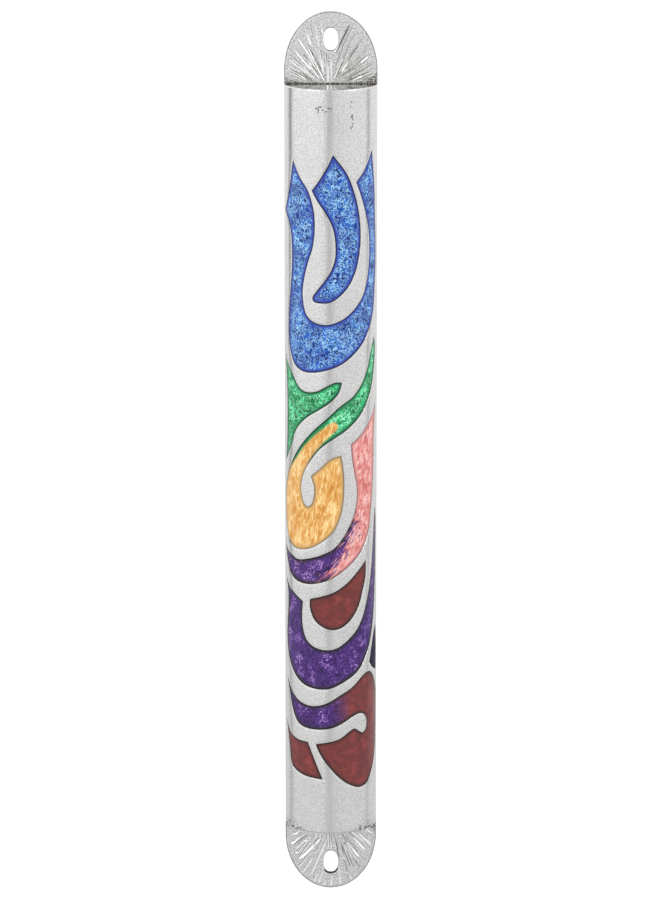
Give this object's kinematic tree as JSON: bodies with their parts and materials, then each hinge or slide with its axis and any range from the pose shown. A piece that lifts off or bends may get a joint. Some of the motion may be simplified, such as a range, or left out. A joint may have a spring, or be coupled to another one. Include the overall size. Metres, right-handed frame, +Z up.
{
  "type": "mezuzah case",
  "caption": "Slim half-round metal mezuzah case with enamel cells, rounded nail tabs, a sliding back panel and a rolled parchment inside.",
  "frame": {"origin": "on the wall face at the back of the case, on its centre line, midway between the two nail slots", "axes": "+Z up along the case towards the top tab, +Y into the wall, +X to the viewer's right as the viewer faces the case"},
  "size_m": [0.02, 0.012, 0.195],
  "materials": {
    "engraved_silver": "stippled silver-coloured metal with bright-cut engraved rays",
    "satin_silver": "fine satin grain",
    "polished_silver": "polished with darkened solder line",
    "panel_metal": "brushed lengthwise",
    "parchment": "matt parchment",
    "translucent_blue_enamel": "glossy enamel over a crinkled reflective ground",
    "translucent_green_enamel": "glossy enamel over a crinkled reflective ground",
    "green_to_orange_enamel": "glossy enamel over a crinkled reflective ground",
    "pink_to_purple_enamel": "glossy enamel over a crinkled reflective ground",
    "translucent_purple_enamel": "glossy enamel over a crinkled reflective ground",
    "maroon_enamel": "glossy near-opaque enamel",
    "purple_to_maroon_enamel": "glossy near-opaque enamel"
  },
  "bodies": {
    "case": {"back_plate": "engraved_silver", "half_round_shell": "satin_silver", "top_end_cap": "polished_silver", "bottom_end_cap": "polished_silver", "blue_ring_enamel": "translucent_blue_enamel", "blue_flame_enamel": "translucent_blue_enamel", "green_leaf_enamel": "translucent_green_enamel", "green_orange_swirl_enamel": "green_to_orange_enamel", "pink_purple_crescent_enamel": "pink_to_purple_enamel", "purple_bowl_enamel": "translucent_purple_enamel", "maroon_crescent_enamel": "maroon_enamel", "purple_sliver_enamel": "translucent_purple_enamel", "purple_maroon_hook_enamel": "purple_to_maroon_enamel", "maroon_leaf_enamel": "maroon_enamel"},
    "panel": {"sliding_back_panel": "panel_metal"},
    "scroll": {"parchment_scroll": "parchment"}
  },
  "joints": [
    {"name": "panel_slide", "type": "slide", "parent": "case", "child": "panel", "axis": [0, 0, -1], "range_m": [0, 0.18]},
    {"name": "scroll_slide", "type": "slide", "parent": "case", "child": "scroll", "axis": [0, 0, 1], "range_m": [0, 0.0118]}
  ]
}
